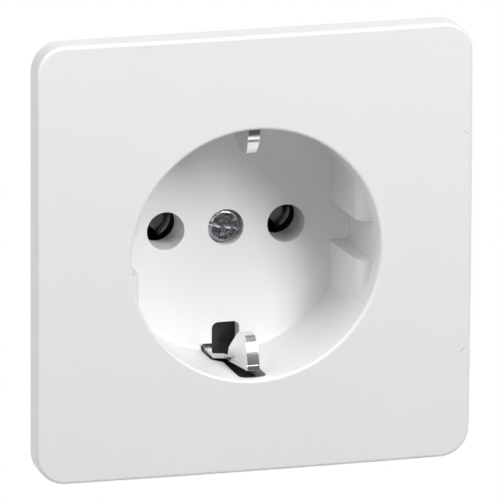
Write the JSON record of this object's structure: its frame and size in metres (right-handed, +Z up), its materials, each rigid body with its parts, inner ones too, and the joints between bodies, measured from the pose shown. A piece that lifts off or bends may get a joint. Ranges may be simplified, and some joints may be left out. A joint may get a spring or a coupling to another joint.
{
  "type": "type f wall socket",
  "caption": "Square flush wall socket with a round well, side earth clips, support ring, spreading claws and push-in terminals.",
  "frame": {"origin": "on the axis of the well, in the plane of the wall (the rear face of the support ring)", "axes": "+Z up, the front faces -Y, +X to the right seen from the front"},
  "size_m": [0.068, 0.0407, 0.068],
  "materials": {
    "cover_plastic": "satin",
    "base_plastic": "matte",
    "lid_plastic": "matte",
    "button_plastic": "satin",
    "zinc_steel": "satin",
    "nickel_strip": "polished",
    "spring_steel": "satin",
    "contact_plated": "satin"
  },
  "bodies": {
    "outlet": {"cover": "cover_plastic", "cover_screw": "zinc_steel", "support_ring": "zinc_steel", "ring_rivets": "zinc_steel", "base": "base_plastic", "terminal_cover": "lid_plastic", "terminal_cover_screws": "zinc_steel", "earth_bow": "nickel_strip", "live_contact": "contact_plated", "live_grip_spring": "spring_steel", "neutral_contact": "contact_plated", "neutral_grip_spring": "spring_steel", "live_clamp_springs": "spring_steel", "neutral_clamp_springs": "spring_steel", "earth_clamp_springs": "spring_steel"},
    "claw_right": {"claw_right": "zinc_steel"},
    "claw_screw_right": {"claw_screw_right": "zinc_steel"},
    "claw_left": {"claw_left": "zinc_steel"},
    "claw_screw_left": {"claw_screw_left": "zinc_steel"},
    "live_release_button": {"live_release_button": "button_plastic"},
    "neutral_release_button": {"neutral_release_button": "button_plastic"},
    "earth_release_button": {"earth_release_button": "button_plastic"}
  },
  "joints": [
    {"name": "claw_screw_right_turn", "type": "hinge", "parent": "outlet", "child": "claw_screw_right", "pos_m": [0.028, 0, -0.0095], "axis": [0, 1, 0], "range_deg": [0, 830]},
    {"name": "claw_right_swing", "type": "hinge", "parent": "outlet", "child": "claw_right", "pos_m": [0.023, 0.0044, -0.0095], "axis": [0, 0, -1], "range_deg": [0, 16]},
    {"name": "claw_screw_left_turn", "type": "hinge", "parent": "outlet", "child": "claw_screw_left", "pos_m": [-0.028, 0, 0.0095], "axis": [0, 1, 0], "range_deg": [0, 830]},
    {"name": "claw_left_swing", "type": "hinge", "parent": "outlet", "child": "claw_left", "pos_m": [-0.023, 0.0044, 0.0095], "axis": [0, 0, 1], "range_deg": [0, 16]},
    {"name": "live_release_press", "type": "slide", "parent": "outlet", "child": "live_release_button", "axis": [0, -1, 0], "range_m": [0, 0.0012], "stiffness_N_per_m": 400, "deforming": ["live_clamp_springs"]},
    {"name": "neutral_release_press", "type": "slide", "parent": "outlet", "child": "neutral_release_button", "axis": [0, -1, 0], "range_m": [0, 0.0012], "stiffness_N_per_m": 400, "deforming": ["neutral_clamp_springs"]},
    {"name": "earth_release_press", "type": "slide", "parent": "outlet", "child": "earth_release_button", "axis": [0, -1, 0], "range_m": [0, 0.0012], "stiffness_N_per_m": 400, "deforming": ["earth_clamp_springs"]}
  ],
  "couplings": [
    {"joint": "claw_right_swing", "follows": "claw_screw_right_turn", "ratio": 0.0191},
    {"joint": "claw_left_swing", "follows": "claw_screw_left_turn", "ratio": 0.0191}
  ]
}
